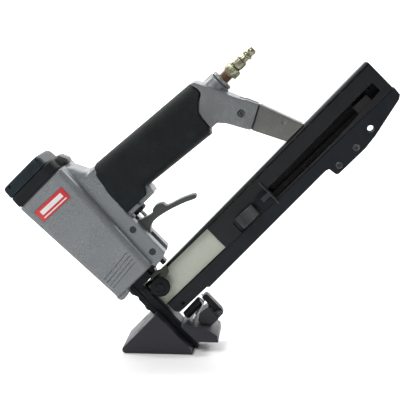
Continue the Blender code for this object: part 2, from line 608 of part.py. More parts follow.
def make_magazine():
    top = magazine_top
    outline = [(MAG_X0, MAG_SEAM_Z + GAP), (MAG_X0, 76.9), (24.0, 77.0), (37.0, top(37.0)),
               (288.0, top(288.0)), (MAG_X1, 81.4), (MAG_X1, MAG_SEAM_Z + GAP)]
    cover = soften(piece("magazine_housing", BLACK_STEEL, prism, outline, -MAG_HALF, MAG_HALF), 0.5)
    cut(cover, box, 0.0, 300.0, -MAG_INNER, MAG_INNER, 40.0, 76.9 - 0.3)
    cut(cover, box, 0.0, STRIP_X1, -12.0, -3.9, 40.0, 74.7)
    slot = [(SLOT_X0, 40.0), (SLOT_X1, 40.0), (SLOT_X1, SLOT_Z1), (SLOT_X0, SLOT_Z0)]
    cut(cover, prism, slot, -12.0, -3.9)
    make_rail()
    for name, y0, y1 in (("rail_plate_near", -6.6, -4.5), ("rail_plate_far", 4.5, 6.6)):
        plate = piece(name, BLACK_STEEL, prism, rail_plate_outline(), y0, y1)
        cut(plate, rod, (252.2, -9.0, 38.2), (252.2, 9.0, 38.2), 3.0, 16)
        cut(plate, rod, (22.0, -9.0, 41.0), (22.0, 9.0, 41.0), 1.9, 12)
        for x, z in rivet_places():
            cut(plate, rod, (x, -9.0, z), (x, 9.0, z), 2.0, 12)
    for i, (x, z) in enumerate(rivet_places(), start=1):
        rivet = [(2.9, 0.0), (2.9, 0.7), (1.7, 0.7), (1.7, 14.5), (2.9, 14.5), (2.9, 15.2), (0.9, 15.2),
                 (0.9, 0.0)]
        piece(f"rail_rivet_{i}", GREY_STEEL, turned, rivet, (x, -7.6, z), (0.0, 1.0, 0.0), 12, True)


def rivet_places():
    return [(210.5, 34.0), (232.0, 35.0)]


def rail_plate_outline():
    heel = arc(205.6, 31.8, 3.2, 180.0, 262.0, 3)
    return [(11.0, MAG_SEAM_Z - GAP), (11.0, 40.5), (14.0, 37.2), (48.4, 36.8), (49.8, 35.1),
            (198.4, 38.6), (201.6, 37.6), *heel, (237.0, 28.8), (251.0, 30.8), (287.4, 39.6),
            (290.8, 42.2), (291.4, MAG_SEAM_Z - GAP)]


def make_rail():
    """The bar between the side plates, with the blade that the staples ride on."""
    base = [(11.5, 49.6), (11.5, 42.0), (28.0, 38.4), (49.8, 37.2), (199.0, 40.2), (289.2, 44.0),
            (289.6, 76.2), (286.0, 76.2), (286.0, 49.6)]
    rail = piece("magazine_rail", GREY_STEEL, prism, base, -4.1, 4.1)
    cut(rail, rod, (252.2, -9.0, 38.2), (252.2, 9.0, 38.2), 4.2, 16)
    blade = [(9.6, 45.0), (9.6, 74.6), (105.0, 74.6), (105.0, 57.0), (287.0, 57.0), (287.0, 45.0)]
    join(rail, prism, blade, -1.8, 1.8)


def channel(bm, x0, x1, z0, z1, inner_top):
    """An upside-down U along the magazine, open below over the rail blade."""
    half, inner = 3.4, 2.15
    section = [(-half, z0), (-half, z1), (half, z1), (half, z0), (inner, z0), (inner, inner_top),
               (-inner, inner_top), (-inner, z0)]
    loft(bm, [[(x, y, z) for y, z in section] for x in (x0, x1)])


def make_feed():
    piece("staple_strip", STAPLE_WIRE, channel, STRIP_X0, STRIP_X1, STRIP_Z0, STRIP_Z1, 75.0)
    pivot = (FEED_X0, 0.0, 63.0)
    feeder = piece("feeder_shoe", BLACK_STEEL, channel, FEED_X0, FEED_X1, 51.2, 76.0, 75.0, pivot=pivot)
    join(feeder, box, 113.0, 129.0, -10.0, -2.6, 53.0, 61.0)
    tab = [(110.8, 52.2), (131.0, 52.6), (131.4, 64.0), (111.2, 64.2)]
    tab = soften(piece("feeder_thumb_tab", GREY_STEEL, prism, tab, -13.4, -10.3, pivot=pivot), 0.8)
    run = [(149.4, -7.9, 47.4), (149.4, -9.6, 47.6), (149.4, -10.4, 48.8), (149.4, -10.4, 70.2),
           (149.4, -9.6, 71.4), (149.4, -8.2, 71.6)]
    piece("feeder_bridge", GREY_STEEL, wire, run, 0.8, 8, pivot=pivot)
    arm = [(140.0, 57.0), (150.4, 57.0), (150.4, 61.0), (140.0, 61.0)]
    join(feeder, prism, arm, -9.2, -2.6)
    turns, steps = 16, 9
    coil = []
    for k in range(turns * steps + 1):
        angle = 2.0 * math.pi * k / steps
        x = FEED_X1 + 1.0 + 133.6 * k / (turns * steps)
        coil.append((x, 3.2 * math.cos(angle), 67.0 + 3.2 * math.sin(angle)))
    piece("feeder_spring", BRIGHT_STEEL, wire, coil, 0.45, 4)
    catch = [(253.7, 51.0), (270.0, 51.0), (270.0, 62.4), (253.7, 62.6)]
    piece("rear_catch", GREY_STEEL, prism, catch, -6.6, -2.3)


# ---------------------------------------------------------------- safety element and latch

def make_safety():
    """Contact strap beside the nose, the side arm and the link up to the trigger."""
    pivot = (5.0, 0.0, 3.4)
    strap = [(2.2, 3.6), (4.6, 3.6), (8.4, 9.4), (8.4, 66.0), (9.6, 70.0), (9.0, 76.0), (4.0, 76.0),
             (2.2, 66.0)]
    soften(piece("contact_strap", BLACK_STEEL, prism, strap, -12.4, -10.5, pivot=pivot), 0.4)
    arm = [(17.0, 77.4), (20.0, 80.2), (27.0, 80.4), (31.0, 78.4), (36.4, 78.2), (37.0, 74.6),
           (34.2, 71.0), (28.4, 69.0), (29.6, 73.8), (27.0, 76.4), (18.0, 76.9)]
    soften(piece("safety_arm", BRACKET_METAL, prism, arm, -12.4, -10.5, pivot=pivot), 0.4)
    link = [(33.4, 78.8), (37.6, 78.8), (37.6, 84.4), (35.2, 86.4), (35.2, 103.0), (34.4, 104.0),
            (33.4, 104.0)]
    piece("trigger_link", BLACK_STEEL, prism, link, -5.0, 5.0, pivot=pivot)


def make_latch():
    block = [(21.0, 20.8), (25.8, 9.0), (35.8, 8.8), (36.2, 23.4), (27.4, 25.0)]
    block = soften(piece("latch_block", GREY_STEEL, prism, block, -11.0, 11.0), 0.5)
    ear = [(34.0, 8.9), (40.6, 9.4), (42.0, 11.6), (40.6, 14.4), (34.0, 16.0)]
    for side in (-1.0, 1.0):
        y = side * 7.2
        join(block, prism, ear, y - 1.4, y + 1.4)
    x, z = LATCH_PIVOT
    cut(block, rod, (x, -14.0, z), (x, 14.0, z), 1.5, 12)
    pin = [(1.25, 0.0), (1.25, 17.4)]
    piece("latch_pin", BRIGHT_STEEL, turned, pin, (x, -8.7, z), (0.0, 1.0, 0.0), 10)
    pivot = (x, 0.0, z)
    lever = [(37.0, 32.8), (41.4, 33.4), (43.1, 31.4), (42.9, 13.0), (41.9, 9.4), (39.2, 8.2),
             (36.9, 10.6), (36.9, 24.0), (37.6, 27.0)]
    lever = soften(piece("latch_lever", BLACK_PLASTIC, prism, lever, -5.4, 5.4, pivot=pivot), 0.8)
    cut(lever, rod, (x, -12.0, z), (x, 12.0, z), 1.6, 12)
    barrel = [(3.2, 0.0), (4.0, 0.8), (4.0, 20.2), (3.2, 21.0)]
    piece("latch_barrel", BLACK_STEEL, turned, barrel, (14.5, -3.0, 30.6), (1.0, 0.0, 0.05), 16)
    side = 9.4
    run = [(36.4, -side, 33.4), (35.4, -side, 29.4), (33.0, -side, 27.4), (20.6, -side, 24.4),
           (18.2, -side + 1.6, 23.8), (18.2, side - 1.6, 23.8), (20.6, side, 24.4), (33.0, side, 27.4),
           (35.4, side, 29.4), (36.4, side, 33.4)]
    piece("latch_wire", BRIGHT_STEEL, wire, run, 0.8, 6)


def main():
    make_housing()
    make_label()
    make_grip()
    make_cylinder()
    make_driver()
    make_cap()
    make_head_valve()
    make_trigger_group()
    make_end_cap()
    make_inlet()
    make_bracket()
    make_nose()
    make_side_boss()
    make_shoes()
    make_magazine()
    make_feed()
    make_safety()
    make_latch()


main()
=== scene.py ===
"""Looks for the pneumatic flooring stapler: fine meshes, materials, light and camera.

Shapes are drawn in the tool's own frame in millimetres, +Z up the driver axis and +X back
along the magazine, and are placed in the world by TOOL. Each visible piece rides on the CAD
body it belongs to, and stands for the plain CAD node of the same part.
"""

import json
import math

import bmesh
import bpy
from mathutils import Matrix, Vector


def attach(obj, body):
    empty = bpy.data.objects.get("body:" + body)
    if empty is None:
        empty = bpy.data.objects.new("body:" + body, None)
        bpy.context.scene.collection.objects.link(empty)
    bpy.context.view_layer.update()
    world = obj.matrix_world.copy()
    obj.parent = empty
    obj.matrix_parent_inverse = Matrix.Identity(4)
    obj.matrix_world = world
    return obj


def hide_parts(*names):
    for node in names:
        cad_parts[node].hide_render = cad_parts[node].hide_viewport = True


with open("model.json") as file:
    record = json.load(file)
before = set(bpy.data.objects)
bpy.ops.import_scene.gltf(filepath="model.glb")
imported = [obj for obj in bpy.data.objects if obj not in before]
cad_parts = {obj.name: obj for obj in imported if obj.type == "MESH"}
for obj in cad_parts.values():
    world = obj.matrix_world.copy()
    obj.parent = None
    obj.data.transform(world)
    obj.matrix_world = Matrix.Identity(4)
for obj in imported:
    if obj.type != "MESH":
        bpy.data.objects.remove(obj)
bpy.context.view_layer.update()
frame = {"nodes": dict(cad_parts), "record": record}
NODES = frame["nodes"]

MM = 0.001
TOOL = Matrix.Translation((0.0335, 0.0, -0.0026)) @ Matrix.Rotation(math.radians(-45.0), 4, "Y")

HOUSING_Z0, HOUSING_Z1 = 87.0, 205.0
FRONT_LOW, FRONT_HIGH = -12.2, -16.6
BACK_LOW, BACK_HIGH = 31.2, 36.9
HALF_LOW, HALF_HIGH = 26.5, 29.0
INLET_Z = 159.5
STRUT_SCREW = (181.6, 127.4)
MAG_X0, MAG_X1 = 9.5, 290.4
MAG_HALF = 7.5
SEAM_Z = 50.2
STRIP_X0, STRIP_X1 = 3.7, 86.4
STRIP_Z0, STRIP_Z1 = 50.9, 76.2
STAPLE_PITCH = 1.27
STUD_PITCH = 1.6
SLOT_X0, SLOT_X1 = 106.0, 281.0
FRONT_CORNER, BACK_CORNER = 2.6, 7.0
LUG_FRONT = 34.6
COVER_END_TOP = 81.4
FLOOR_GAP = 0.0004


# ---------------------------------------------------------------- materials

def noise(tree, coord, scale, detail=3.0, rough=0.5):
    node = tree.nodes.new("ShaderNodeTexNoise")
    node.inputs["Scale"].default_value = scale
    node.inputs["Detail"].default_value = detail
    node.inputs["Roughness"].default_value = rough
    tree.links.new(coord, node.inputs["Vector"])
    return node.outputs["Fac"]


def ramp(tree, value, low, high, start, end):
    """Map value from start..end to a colour between low and high."""
    node = tree.nodes.new("ShaderNodeValToRGB")
    node.color_ramp.elements[0].position = start
    node.color_ramp.elements[0].color = (*low, 1.0)
    node.color_ramp.elements[1].position = end
    node.color_ramp.elements[1].color = (*high, 1.0)
    tree.links.new(value, node.inputs["Fac"])
    return node.outputs["Color"]


def span(tree, value, low, high, start=0.0, end=1.0):
    node = tree.nodes.new("ShaderNodeMapRange")
    node.inputs["From Min"].default_value = start
    node.inputs["From Max"].default_value = end
    node.inputs["To Min"].default_value = low
    node.inputs["To Max"].default_value = high
    tree.links.new(value, node.inputs["Value"])
    return node.outputs["Result"]


def mix(tree, factor, a, b, mode="MIX"):
    node = tree.nodes.new("ShaderNodeMix")
    node.data_type = "RGBA"
    node.blend_type = mode
    for socket, value in ((node.inputs[0], factor), (node.inputs[6], a), (node.inputs[7], b)):
        if isinstance(value, bpy.types.NodeSocket):
            tree.links.new(value, socket)
        elif isinstance(value, tuple):
            socket.default_value = (*value, 1.0)
        else:
            socket.default_value = value
    return node.outputs[2]


def scaled(color, k):
    return tuple(min(c * k, 1.0) for c in color)


def stretched(tree, coord, stretch):
    """Object coordinates squeezed along the tool's axes, for brushing and drawing marks."""
    turn = tree.nodes.new("ShaderNodeMapping")
    turn.inputs["Rotation"].default_value = (0.0, math.radians(45.0), 0.0)
    squeeze = tree.nodes.new("ShaderNodeMapping")
    squeeze.inputs["Scale"].default_value = stretch
    tree.links.new(coord, turn.inputs["Vector"])
    tree.links.new(turn.outputs["Vector"], squeeze.inputs["Vector"])
    return squeeze.outputs["Vector"]


def surface(name, color, rough, metallic=0.0, blotch=0.10, grain=900.0, grain_depth=0.1,
            speckle=0.0, wear=None, wear_amount=0.5, stretch=(1.0, 1.0, 1.0),
            checkered=False, dust=None, gloss=0.5):
    """A worn, slightly uneven surface: broad tone changes, fine grain and rubbed edges."""
    mat = bpy.data.materials.new(name)
    mat.use_nodes = True
    tree = mat.node_tree
    shader = tree.nodes["Principled BSDF"]
    shader.inputs["Metallic"].default_value = metallic
    shader.inputs["Specular IOR Level"].default_value = gloss
    texture = tree.nodes.new("ShaderNodeTexCoord")
    plain = texture.outputs["Object"]
    drawn = stretched(tree, plain, stretch)
    broad = noise(tree, plain, 42.0, 3.0)
    fine = noise(tree, drawn, grain, 2.0)
    tone = ramp(tree, broad, scaled(color, 1.0 - blotch), scaled(color, 1.0 + blotch), 0.3, 0.7)
    if speckle > 0.0:
        dots = noise(tree, plain, 1500.0, 1.0)
        spots = ramp(tree, dots, scaled((1.0, 1.0, 1.0), 1.0 - speckle), (1.0, 1.0, 1.0), 0.42, 0.6)
        tone = mix(tree, 1.0, tone, spots, "MULTIPLY")
    if dust is not None:
        smudge = noise(tree, plain, 95.0, 4.0, 0.65)
        tone = mix(tree, span(tree, smudge, 0.0, 0.35, 0.52, 0.75), tone, dust)
    if wear is not None:
        edge = span(tree, edge_distance(tree), 1.0, 0.0, 0.90, 0.995)
        breakup = span(tree, noise(tree, plain, 260.0, 4.0, 0.7), 0.0, wear_amount * 2.0, 0.35, 0.65)
        join = tree.nodes.new("ShaderNodeMath")
        join.operation = "MULTIPLY"
        join.use_clamp = True
        tree.links.new(edge, join.inputs[0])
        tree.links.new(breakup, join.inputs[1])
        tone = mix(tree, join.outputs[0], tone, wear)
    tree.links.new(tone, shader.inputs["Base Color"])
    tree.links.new(span(tree, fine, rough - 0.08, rough + 0.10, 0.3, 0.7), shader.inputs["Roughness"])
    bump = tree.nodes.new("ShaderNodeBump")
    bump.inputs["Strength"].default_value = 0.6
    bump.inputs["Distance"].default_value = grain_depth * MM
    height = fine
    if checkered:
        height = checker_height(tree, drawn)
    tree.links.new(height, bump.inputs["Height"])
    tree.links.new(bump.outputs["Normal"], shader.inputs["Normal"])
    return mat


def edge_distance(tree):
    """1 on flat ground, falling where the surface turns a corner."""
    geometry = tree.nodes.new("ShaderNodeNewGeometry")
    rounded_normal = tree.nodes.new("ShaderNodeBevel")
    rounded_normal.samples = 4
    rounded_normal.inputs["Radius"].default_value = 0.5 * MM
    compare = tree.nodes.new("ShaderNodeVectorMath")
    compare.operation = "DOT_PRODUCT"
    tree.links.new(geometry.outputs["Normal"], compare.inputs[0])
    tree.links.new(rounded_normal.outputs["Normal"], compare.inputs[1])
    return compare.outputs["Value"]


def checker_height(tree, coord):
    """Rows of small square studs for the moulded rubber grip."""
    split = tree.nodes.new("ShaderNodeSeparateXYZ")
    tree.links.new(coord, split.inputs[0])
    waves = []
    for axis in ("X", "Z"):
        turn = tree.nodes.new("ShaderNodeMath")
        turn.operation = "MULTIPLY"
        turn.inputs[1].default_value = 2.0 * math.pi / (STUD_PITCH * MM)
        wave = tree.nodes.new("ShaderNodeMath")
        wave.operation = "SINE"
        tree.links.new(split.outputs[axis], turn.inputs[0])
        tree.links.new(turn.outputs[0], wave.inputs[0])
        waves.append(wave.outputs[0])
    both = tree.nodes.new("ShaderNodeMath")
    both.operation = "MULTIPLY"
    tree.links.new(waves[0], both.inputs[0])
    tree.links.new(waves[1], both.inputs[1])
    return span(tree, both.outputs[0], 0.0, 1.0, -0.35, 0.35)


CAST = surface("cast_paint", (0.190, 0.203, 0.212), 0.38, 0.30, 0.05, 1300.0, 0.05, speckle=0.34,
               wear=(0.45, 0.46, 0.46), wear_amount=0.30)
CAST_BARE = surface("cast_bare", (0.168, 0.178, 0.184), 0.38, 0.35, 0.20, 500.0, 0.16, speckle=0.34,
                    wear=(0.55, 0.56, 0.56), wear_amount=0.5, dust=(0.235, 0.245, 0.250))
BRACKET = surface("bracket_coat", (0.115, 0.114, 0.110), 0.42, 0.3, 0.10, 900.0, 0.05, speckle=0.18,
                  wear=(0.33, 0.33, 0.31), dust=(0.18, 0.18, 0.17))
CAP_PLASTIC = surface("cap_plastic", (0.0085, 0.0150, 0.0195), 0.42, 0.0, 0.18, 700.0, 0.08,
                      wear=(0.05, 0.06, 0.065), wear_amount=0.3, dust=(0.018, 0.026, 0.031), gloss=0.2)
CAP_BLACK = surface("cap_black", (0.0075, 0.0085, 0.0095), 0.5, 0.0, 0.18, 700.0, 0.08,
                    wear=(0.05, 0.052, 0.055), wear_amount=0.3, dust=(0.015, 0.016, 0.018), gloss=0.15)
GRIP_RUBBER = surface("grip_rubber", (0.0070, 0.0092, 0.0097), 0.60, 0.0, 0.25, 700.0, 0.22,
                      checkered=True, dust=(0.014, 0.019, 0.019), gloss=0.14)
TRIGGER_PLASTIC = surface("trigger_plastic", (0.038, 0.043, 0.040), 0.40, 0.0, 0.12, 900.0, 0.05,
                          wear=(0.11, 0.12, 0.115), wear_amount=0.5, gloss=0.3)
BLACK_OXIDE = surface("black_oxide", (0.0050, 0.0060, 0.0078), 0.38, 0.1, 0.18, 800.0, 0.04,
                      wear=(0.09, 0.095, 0.10), wear_amount=0.35, dust=(0.011, 0.013, 0.015), gloss=0.14)
MAG_PAINT = surface("magazine_paint", (0.0085, 0.0092, 0.0105), 0.36, 0.0, 0.14, 700.0, 0.03,
                    wear=(0.12, 0.12, 0.125), wear_amount=0.4, dust=(0.016, 0.017, 0.019), gloss=0.2)
RAIL_PAINT = surface("rail_paint", (0.0070, 0.0090, 0.0118), 0.36, 0.0, 0.18, 700.0, 0.03,
                     wear=(0.07, 0.075, 0.08), wear_amount=0.3, dust=(0.014, 0.017, 0.020), gloss=0.17)
# Near-black painted shade for the inside of the magazine: the slot's interior, the lancing cuts and the rail
# seen through the slot get this darker, barely reflective black in place of the shadow there.
SLOT_SHADE_PAINT = surface("slot_painted_shade", (0.0025, 0.0025, 0.003), 0.30, 0.0, 0.2, 500.0, 0.01, gloss=0.1)
DARK_STEEL = surface("dark_steel", (0.034, 0.036, 0.038), 0.38, 0.4, 0.16, 900.0, 0.04,
                     wear=(0.3, 0.3, 0.31), wear_amount=0.6, stretch=(0.15, 1.0, 1.0), gloss=0.3)
SHOE_PAINT = surface("shoe_paint", (0.022, 0.022, 0.029), 0.45, 0.0, 0.10, 1000.0, 0.06,
                     wear=(0.10, 0.105, 0.11), wear_amount=0.5, speckle=0.28, gloss=0.3)
BRUSHED = surface("brushed_steel", (0.42, 0.42, 0.43), 0.32, 1.0, 0.12, 700.0, 0.03,
                  wear=(0.7, 0.7, 0.7), stretch=(0.06, 1.0, 1.0))
STAPLE = surface("staple_wire", (0.405, 0.425, 0.362), 0.45, 0.25, 0.06, 900.0, 0.03,
                 stretch=(1.0, 1.0, 0.1))
ZINC = surface("yellow_zinc", (0.285, 0.280, 0.195), 0.26, 0.85, 0.45, 600.0, 0.04,
               wear=(0.62, 0.60, 0.50), wear_amount=0.7, dust=(0.13, 0.125, 0.105))
COPPER = surface("copper_thread", (0.24, 0.17, 0.12), 0.40, 0.8, 0.2, 700.0, 0.04)
RUBBER = surface("seal_rubber", (0.02, 0.02, 0.02), 0.75, 0.0, 0.1, 900.0, 0.05)
AMBER = surface("amber_urethane", (0.50, 0.30, 0.08), 0.45, 0.0, 0.1, 600.0, 0.04)
RED = surface("label_red", (0.46, 0.026, 0.032), 0.38, 0.0, 0.06, 1200.0, 0.02, gloss=0.35)
WHITE = surface("label_white", (0.60, 0.58, 0.58), 0.42, 0.0, 0.05, 1200.0, 0.02)
CATCH_GREY = surface("catch_grey", (0.012, 0.012, 0.013), 0.5, 0.0, 0.14, 900.0, 0.04, gloss=0.16)
LATCH_GREY = surface("latch_grey", (0.022, 0.023, 0.026), 0.44, 0.2, 0.14, 900.0, 0.04,
                     wear=(0.12, 0.12, 0.13), wear_amount=0.5, gloss=0.3)
ARM_GREEN = surface("arm_green", (0.026, 0.029, 0.023), 0.44, 0.2, 0.14, 900.0, 0.04,
                    wear=(0.14, 0.145, 0.13), wear_amount=0.5, gloss=0.3)
LUG_GREY = surface("lug_grey", (0.042, 0.044, 0.044), 0.42, 0.0, 0.16, 800.0, 0.05,
                   wear=(0.16, 0.165, 0.165), wear_amount=0.5, gloss=0.35)
PIN_GREY = surface("pin_grey", (0.024, 0.032, 0.032), 0.45, 0.2, 0.14, 900.0, 0.04, gloss=0.3)

SLOT_LOOKS = {"cast_alloy": CAST, "bracket_metal": BRACKET, "black_plastic": CAP_PLASTIC,
              "black_rubber": GRIP_RUBBER, "black_steel": BLACK_OXIDE, "grey_steel": DARK_STEEL,
              "bright_steel": BRUSHED, "staple_wire": STAPLE, "brass": ZINC,
              "seal_rubber": RUBBER, "bumper_plastic": AMBER, "label_red": RED}


# ---------------------------------------------------------------- mesh helpers

def object_from(name, bm):
    """Make an object from a bmesh drawn in tool millimetres."""
    bmesh.ops.remove_doubles(bm, verts=bm.verts, dist=0.001)
    bmesh.ops.recalc_face_normals(bm, faces=bm.faces)
    bmesh.ops.transform(bm, matrix=TOOL @ Matrix.Scale(MM, 4), verts=bm.verts)
    mesh = bpy.data.meshes.new(name)
    bm.to_mesh(mesh)
    bm.free()
    obj = bpy.data.objects.new(name, mesh)
    bpy.context.scene.collection.objects.link(obj)
    return obj


def drawn(name, draw, *args):
    bm = bmesh.new()
    draw(bm, *args)
    return object_from(name, bm)


def bake(obj):
    """Replace an object's mesh with the result of its modifiers."""
    graph = bpy.context.evaluated_depsgraph_get()
    mesh = bpy.data.meshes.new_from_object(obj.evaluated_get(graph))
    obj.modifiers.clear()
    obj.data = mesh
    return obj


def combine(obj, operation, *helpers):
    """Apply each helper body to obj as a Boolean, and remove it."""
    for helper in helpers:
        mod = obj.modifiers.new("combine", "BOOLEAN")
        mod.operation = operation
        mod.solver = "EXACT"
        mod.object = helper
    bake(obj)
    for helper in helpers:
        bpy.data.objects.remove(helper, do_unlink=True)
    return obj


def cast(obj, voxel, rounds):
    """Melt an object's sharp edges into cast fillets."""
    mod = obj.modifiers.new("remesh", "REMESH")
    mod.mode = "VOXEL"
    mod.voxel_size = voxel * MM
    mod = obj.modifiers.new("smooth", "SMOOTH")
    mod.factor = 0.5
    mod.iterations = rounds
    return bake(obj)


def rounded(obj, width, segments=3, angle=35.0):
    mod = obj.modifiers.new("soft_edges", "BEVEL")
    mod.width = width * MM
    mod.segments = segments
    mod.limit_method = "ANGLE"
    mod.angle_limit = math.radians(angle)
    mod.miter_outer = "MITER_ARC"
    return bake(obj)


def dress(obj, material, body="frame", replaces=(), sharp=40.0):
    """Give a piece its material, shading and body."""
    obj.data.materials.clear()
    obj.data.materials.append(material)
    obj.data.shade_smooth()
    obj.data.set_sharp_from_angle(angle=math.radians(sharp))
    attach(obj, body)
    if replaces:
        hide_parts(*replaces)
    return obj


def loft(bm, rings, closed=False):
    loops = [[bm.verts.new(point) for point in ring] for ring in rings]
    count = len(rings[0])
    spans = list(zip(loops, loops[1:]))
    if closed:
        spans.append((loops[-1], loops[0]))
    for low, high in spans:
        for i in range(count):
            j = (i + 1) % count
            bm.faces.new((low[i], low[j], high[j], high[i]))
    if not closed:
        bm.faces.new(loops[0])
        bm.faces.new(loops[-1])


def prism(bm, outline, y0, y1):
    loft(bm, [[(x, y, z) for x, z in outline] for y in (y0, y1)])


def box(bm, x0, x1, y0, y1, z0, z1):
    prism(bm, [(x0, z0), (x1, z0), (x1, z1), (x0, z1)], y0, y1)


def turned(bm, profile, base, axis, segments=48, closed=False):
    up = Vector(axis).normalized()
    side = up.orthogonal().normalized()
    other = up.cross(side)
    rings = []
    for radius, height in profile:
        ring = []
        for i in range(segments):
            angle = 2.0 * math.pi * (i + 0.5) / segments
            spoke = side * math.cos(angle) + other * math.sin(angle)
            ring.append(Vector(base) + up * height + spoke * radius)
        rings.append(ring)
    loft(bm, rings, closed)


def rod(bm, start, end, radius, segments=32):
    length = (Vector(end) - Vector(start)).length
    turned(bm, [(radius, 0.0), (radius, length)], start, Vector(end) - Vector(start), segments)


def wire(bm, points, radius, segments=14):
    path = [Vector(point) for point in points]
    rings = []
    side = (path[1] - path[0]).orthogonal().normalized()
    for i, point in enumerate(path):
        before = (point - path[max(i - 1, 0)]).normalized()
        after = (path[min(i + 1, len(path) - 1)] - point).normalized()
        tangent = (before + after).normalized()
        side = (side - tangent * side.dot(tangent)).normalized()
        other = tangent.cross(side)
        ring = []
        for k in range(segments):
            angle = 2.0 * math.pi * k / segments
            ring.append(point + (side * math.cos(angle) + other * math.sin(angle)) * radius)
        rings.append(ring)
    loft(bm, rings)


def arc(cx, cz, radius, start, end, steps):
    points = []
    for k in range(steps + 1):
        angle = math.radians(start + (end - start) * k / steps)
        points.append((cx + radius * math.cos(angle), cz + radius * math.sin(angle)))
    return points


def rounded_rect(x0, x1, half, front, back, steps=10):
    """A rectangle with round corners, of one radius in front and another behind."""
    corners = ((x1 - back, half - back, back), (x0 + front, half - front, front),
               (x0 + front, front - half, front), (x1 - back, back - half, back))
    points = []
    for quarter, (cx, cy, radius) in enumerate(corners):
        points += arc(cx, cy, radius, 90.0 * quarter, 90.0 * (quarter + 1), steps)
    return points


def smooth_path(points, steps=5, closed=True):
    """Catmull-Rom curve through the points, in two or three dimensions."""
    pts = [Vector(p) for p in points]
    count = len(pts)
    out = []
    for i in range(count if closed else count - 1):
        if closed:
            a, b, c, d = (pts[(i + k) % count] for k in (-1, 0, 1, 2))
        else:
            a, b, c, d = (pts[min(max(i + k, 0), count - 1)] for k in (-1, 0, 1, 2))
        for k in range(steps):
            t = k / steps
            out.append(0.5 * (2.0 * b + (c - a) * t + (2.0 * a - 5.0 * b + 4.0 * c - d) * t * t
                              + (3.0 * b - a - 3.0 * c + d) * t ** 3))
    if not closed:
        out.append(pts[-1])
    return [tuple(p) for p in out]


def fine_edges(node, width=0.3, segments=2):
    """Soften a carried-over CAD node's edges without touching its own mesh."""
    obj = NODES[node]
    weld = obj.modifiers.new("weld", "WELD")
    weld.merge_threshold = 0.00002
    mod = obj.modifiers.new("soft_edges", "BEVEL")
    mod.width = width * MM
    mod.segments = segments
    mod.limit_method = "ANGLE"
    mod.angle_limit = math.radians(35.0)
    mod.use_clamp_overlap = True


# ---------------------------------------------------------------- housing

def handle_z(x):
    return 166.5 - 0.089 * (x - 40.0)


def oval_ring(x, zc, half_high, half_wide, power=2.6, count=64):
    ring = []
    for k in range(count):
        angle = 2.0 * math.pi * (k + 0.5) / count
        c, s = math.cos(angle), math.sin(angle)
        y = half_wide * math.copysign(abs(c) ** (2.0 / power), c)
        z = half_high * math.copysign(abs(s) ** (2.0 / power), s)
        ring.append((x, y, zc + z))
    return ring


def handle_body(bm, x0, x1, half_high, half_wide, grow=0.0):
    loft(bm, [oval_ring(x, handle_z(x), half_high + grow, half_wide + grow) for x in (x0, x1)])


def housing_ring(z, inset=0.0):
    t = (z - HOUSING_Z0) / (HOUSING_Z1 - HOUSING_Z0)
    front = FRONT_LOW + (FRONT_HIGH - FRONT_LOW) * t + inset
    back = BACK_LOW + (BACK_HIGH - BACK_LOW) * t - inset
    half = HALF_LOW + (HALF_HIGH - HALF_LOW) * t - inset
    return [(x, y, z) for x, y in rounded_rect(front, back, half, FRONT_CORNER, BACK_CORNER)]


def arch(x, top, half, radius, base):
    """A door-shaped section across the tool: square below, rounded at the top edges."""
    ring = [(x, -half, base)]
    ring += [(x, y, z) for y, z in arc(radius - half, top - radius, radius, 180.0, 90.0, 6)]
    ring += [(x, y, z) for y, z in arc(half - radius, top - radius, radius, 90.0, 0.0, 6)]
    ring.append((x, half, base))
    return ring


def neck_saddle(bm):
    """The dip between the cylinder and the grip, rounded over at both sides."""
    rings = [arch(30.0, 202.6, 20.0, 8.0, 165.0)]
    curve = [(37.4, 203.0), (40.4, 198.6), (42.4, 194.2), (44.6, 190.2), (47.4, 187.5), (50.8, 186.2)]
    for x, z in smooth_path(curve, 3, False):
        rings.append(arch(x, z, 18.4, 8.0, 165.0))
    rings.append(arch(54.3, 185.6, 18.0, 8.0, 165.0))
    loft(bm, rings)


def make_housing():
    rings = [housing_ring(HOUSING_Z0, 1.5), housing_ring(HOUSING_Z0 + 1.5), housing_ring(HOUSING_Z1)]
    shell = drawn("housing_shell", loft, rings)
    web = [(30.0, 184.0), (53.8, 184.6), (51.6, 181.4), (48.3, 158.4), (46.9, 135.6), (46.6, 127.0),
           (46.2, 87.2), (44.0, 85.6), (36.3, 83.8), (30.0, 84.2)]
    valve_block = [(44.0, 150.0), (44.0, 131.0), (76.8, 131.2), (77.6, 137.0), (75.0, 147.0)]
    lobe = smooth_path([(-9.0, 92.0), (-12.6, 90.0), (-13.2, 86.4), (-11.8, 83.6), (-8.5, 82.7),
                        (-2.4, 83.7), (0.6, 86.8), (0.6, 92.0)], 3)
    combine(shell, "UNION", drawn("web", prism, web, -18.0, 18.0), drawn("saddle", neck_saddle),
            drawn("root", box, 40.0, 60.0, -14.5, 14.5, 132.0, 180.0),
            drawn("core", handle_body, 40.0, 163.0, 16.6, 15.0),
            drawn("valve_block", prism, valve_block, -12.0, 12.0),
            drawn("lobe_near", prism, lobe, -24.5, -12.5), drawn("lobe_far", prism, lobe, 12.5, 24.5))
    cast(shell, 0.75, 5)
    combine(shell, "DIFFERENCE", drawn("bore", rod, (5.5, 0.0, 103.7), (5.5, 0.0, 206.0), 16.8, 48),
            drawn("valve_bore", rod, (53.8, 0.0, 125.0), (53.8, 0.0, 160.0), 6.9, 40),
            drawn("screws_and_pins", housing_holes), drawn("grooves", housing_grooves))
    dress(shell, CAST, "frame", ["housing_casting"], 50.0)


